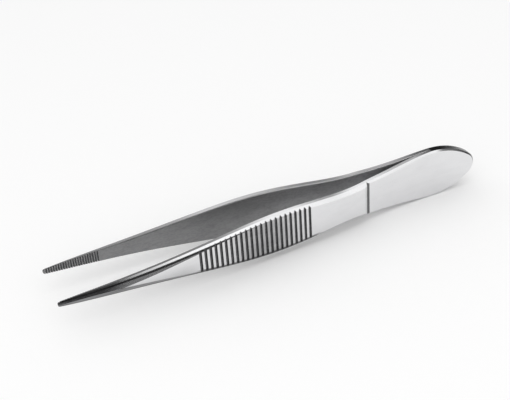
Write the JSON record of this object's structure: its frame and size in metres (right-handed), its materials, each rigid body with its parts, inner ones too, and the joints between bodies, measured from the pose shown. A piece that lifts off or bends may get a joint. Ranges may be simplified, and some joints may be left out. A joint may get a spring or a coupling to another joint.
{
  "type": "thumb forceps",
  "caption": "Fine-pointed spring forceps: mirror-image steel legs joined at a rounded butt, ribbed finger grips, narrow tapering jaws with fine cross serrations.",
  "frame": {"origin": "centre of the bounding box's footprint at the height of the lower long edge", "axes": "+X along the instrument towards the joined butt end (tips at -X), +Y across the gap towards the far leg, +Z across the width of the legs, upwards as it lies on its long edges"},
  "size_m": [0.125, 0.018, 0.015],
  "materials": {
    "steel": "polished outside faces, satin inner faces"
  },
  "bodies": {
    "root": {"near_leg": "steel", "far_leg": "steel"}
  },
  "joints": []
}
